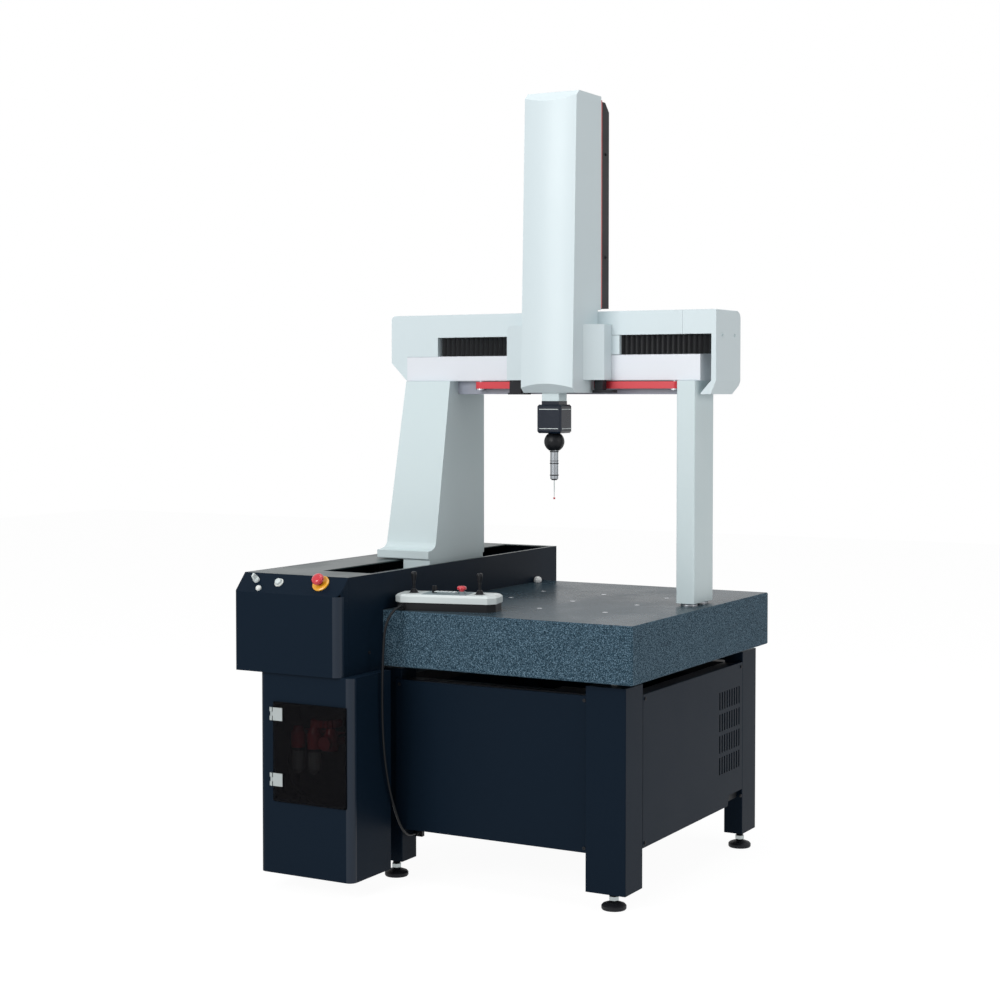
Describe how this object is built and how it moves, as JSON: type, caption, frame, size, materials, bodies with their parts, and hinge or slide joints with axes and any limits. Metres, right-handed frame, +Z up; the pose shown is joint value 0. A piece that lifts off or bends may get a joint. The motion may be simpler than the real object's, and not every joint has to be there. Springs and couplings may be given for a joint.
{
  "type": "coordinate measuring machine",
  "caption": "Moving-bridge coordinate measuring machine: granite table on a panelled stand, guideway housing, bridge, carriage, vertical column, ram, swivelling touch probe, joystick pendant.",
  "frame": {"origin": "on the floor under the middle of the outer box", "axes": "+X to the machine's right, +Y to its rear, +Z up; the ram's column and the console face -Y"},
  "size_m": [1.1, 1.2304, 2.18],
  "materials": {
    "granite": "lapped dark granite with fine light grain",
    "navy_paint": "smooth dark blue powder coat",
    "top_paint": "satin grey-green paint",
    "dark_frame": "matt black paint",
    "white_casting": "pale grey fine textured paint over cast aluminium",
    "white_cover": "pale silver grey paint over a moulded cover",
    "ceramic_white": "ground and polished white",
    "bellows_black": "pleated black coated cloth",
    "belt_red": "smooth red toothed belt",
    "steel": "fine turned steel",
    "black_plastic": "black moulded plastic",
    "red_plastic": "glossy red moulded plastic",
    "red_trim": "red painted edge",
    "pale_plastic": "pale grey moulded plastic",
    "grey_panel": "satin grey keypad sheet",
    "tinted_window": "smoke tinted clear sheet",
    "clear_bowl": "clear moulded bowl",
    "head_paint": "dark blue anodised",
    "cable_black": "black cable jacket",
    "hose_black": "black air hose",
    "brass": "turned brass and a white ceramic ball",
    "zinc": "bright zinc plate"
  },
  "bodies": {
    "base": {"granite_table": "granite", "stand_legs": "navy_paint", "levelling_feet": "dark_frame", "granite_jacks": "zinc", "stand_rails": "dark_frame", "front_panel": "navy_paint", "right_panel": "navy_paint", "rear_panels": "navy_paint", "controller_box": "dark_frame", "housing_front_cover": "navy_paint", "housing_rear_cover": "navy_paint", "housing_left_cover": "navy_paint", "housing_right_cover": "navy_paint", "housing_top_cover": "top_paint", "housing_frame": "dark_frame", "y_drive": "steel", "cabinet_shell": "navy_paint", "hinge_pins": "zinc", "air_filters": "red_plastic", "filter_bowls": "clear_bowl", "console_fittings": "pale_plastic", "pendant_base": "black_plastic", "pendant_cover": "pale_plastic", "pendant_keypad": "grey_panel", "cable_glands": "black_plastic", "pendant_cable": "cable_black", "air_hose": "hose_black", "reference_sphere": "brass"},
    "door": {"window_door": "tinted_window", "door_leaves": "zinc"},
    "emergency_stop": {"estop_button": "red_plastic"},
    "start_key": {"start_button": "pale_plastic"},
    "mode_switch": {"mode_knob": "pale_plastic"},
    "pendant_stop": {"pendant_estop": "red_plastic"},
    "pendant_dial": {"pendant_knob": "black_plastic"},
    "left_stick_gimbal": {"left_joystick_boot": "cable_black"},
    "left_stick": {"left_joystick": "black_plastic"},
    "right_stick_gimbal": {"right_joystick_boot": "cable_black"},
    "right_stick": {"right_joystick": "black_plastic"},
    "bridge": {"left_leg": "white_casting", "left_leg_base": "white_casting", "right_leg": "white_casting", "right_bearing_pads": "steel", "beam": "ceramic_white", "beam_top_cover": "white_cover", "right_end_cover": "white_cover", "x_drive_belt": "belt_red", "belt_pulleys": "steel", "left_bellows": "bellows_black", "right_bellows": "bellows_black"},
    "carriage": {"carriage_cover": "white_cover", "z_front_cover": "white_cover", "z_trim_plate": "red_trim", "z_rear_cover": "dark_frame", "belt_clamps": "dark_frame"},
    "ram": {"z_ram": "white_casting", "probe_head": "head_paint"},
    "head_ball": {"probe_ball": "black_plastic"},
    "probe": {"probe_module": "steel", "stylus": "zinc"}
  },
  "joints": [
    {"name": "bridge_slide", "type": "slide", "parent": "base", "child": "bridge", "axis": [0, 1, 0], "range_m": [-0.2, 0.2]},
    {"name": "carriage_slide", "type": "slide", "parent": "bridge", "child": "carriage", "axis": [1, 0, 0], "range_m": [-0.23, 0.27], "deforming": ["left_bellows", "right_bellows"]},
    {"name": "ram_slide", "type": "slide", "parent": "carriage", "child": "ram", "axis": [0, 0, 1], "range_m": [-0.285, 0.015]},
    {"name": "head_rotate", "type": "hinge", "parent": "ram", "child": "head_ball", "pos_m": [0.108, -0.012, 1.206], "axis": [0, 0, 1], "range_deg": [-180, 180]},
    {"name": "head_tilt", "type": "hinge", "parent": "head_ball", "child": "probe", "pos_m": [0.108, -0.012, 1.206], "axis": [1, 0, 0], "range_deg": [0, 105]},
    {"name": "door_hinge", "type": "hinge", "parent": "base", "child": "door", "pos_m": [-0.436, -0.6094, 0.3805], "axis": [0, 0, -1], "range_deg": [0, 110]},
    {"name": "estop_press", "type": "slide", "parent": "base", "child": "emergency_stop", "axis": [0, 0.7372, -0.6757], "range_m": [0, 0.004], "stiffness_N_per_m": 1500, "springref_m": -0.002},
    {"name": "start_press", "type": "slide", "parent": "base", "child": "start_key", "axis": [0, 0.7372, -0.6757], "range_m": [0, 0.001], "stiffness_N_per_m": 1500, "springref_m": -0.0005},
    {"name": "mode_turn", "type": "hinge", "parent": "base", "child": "mode_switch", "pos_m": [-0.497, -0.5886, 0.8358], "axis": [0, -0.7372, 0.6757], "range_deg": [-45, 45]},
    {"name": "pendant_stop_press", "type": "slide", "parent": "base", "child": "pendant_stop", "axis": [0, 0, -1], "range_m": [0, 0.004], "stiffness_N_per_m": 1000, "springref_m": -0.002},
    {"name": "pendant_dial_turn", "type": "hinge", "parent": "base", "child": "pendant_dial", "pos_m": [-0.10075, -0.31664, 0.798], "axis": [0, 0, 1], "range_deg": [-150, 150]},
    {"name": "left_stick_roll", "type": "hinge", "parent": "base", "child": "left_stick_gimbal", "pos_m": [-0.15795, -0.3309, 0.793], "axis": [0.9703, 0.2419, 0], "range_deg": [-18, 18], "stiffness_Nm_per_rad": 0.4},
    {"name": "left_stick_pitch", "type": "hinge", "parent": "left_stick_gimbal", "child": "left_stick", "pos_m": [-0.15795, -0.3309, 0.793], "axis": [-0.2419, 0.9703, 0], "range_deg": [-18, 18], "stiffness_Nm_per_rad": 0.4},
    {"name": "right_stick_roll", "type": "hinge", "parent": "base", "child": "right_stick_gimbal", "pos_m": [0.0235, -0.28566, 0.793], "axis": [0.9703, 0.2419, 0], "range_deg": [-18, 18], "stiffness_Nm_per_rad": 0.4},
    {"name": "right_stick_pitch", "type": "hinge", "parent": "right_stick_gimbal", "child": "right_stick", "pos_m": [0.0235, -0.28566, 0.793], "axis": [-0.2419, 0.9703, 0], "range_deg": [-18, 18], "stiffness_Nm_per_rad": 0.4}
  ]
}
